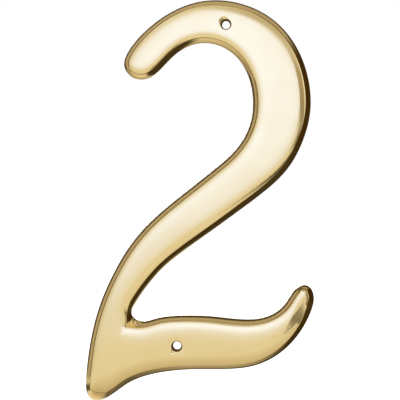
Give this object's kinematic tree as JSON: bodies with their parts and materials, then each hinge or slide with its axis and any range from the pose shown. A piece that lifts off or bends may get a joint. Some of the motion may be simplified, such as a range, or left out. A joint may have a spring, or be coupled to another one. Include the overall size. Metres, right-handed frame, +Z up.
{
  "type": "brass door number",
  "caption": "Cast brass door number, the digit two, with a flat back, sides that lean in, a pillowed polished face and holes for nails.",
  "frame": {"origin": "on the flat back, half way between the centres of the two nail holes", "axes": "+Z up the digit, +Y out of the back into the door, so the face looks along -Y, and +X to the reader's right"},
  "size_m": [0.058, 0.004, 0.1015],
  "materials": {
    "brass": "polished and lacquered"
  },
  "bodies": {
    "root": {"door_number": "brass"}
  },
  "joints": []
}
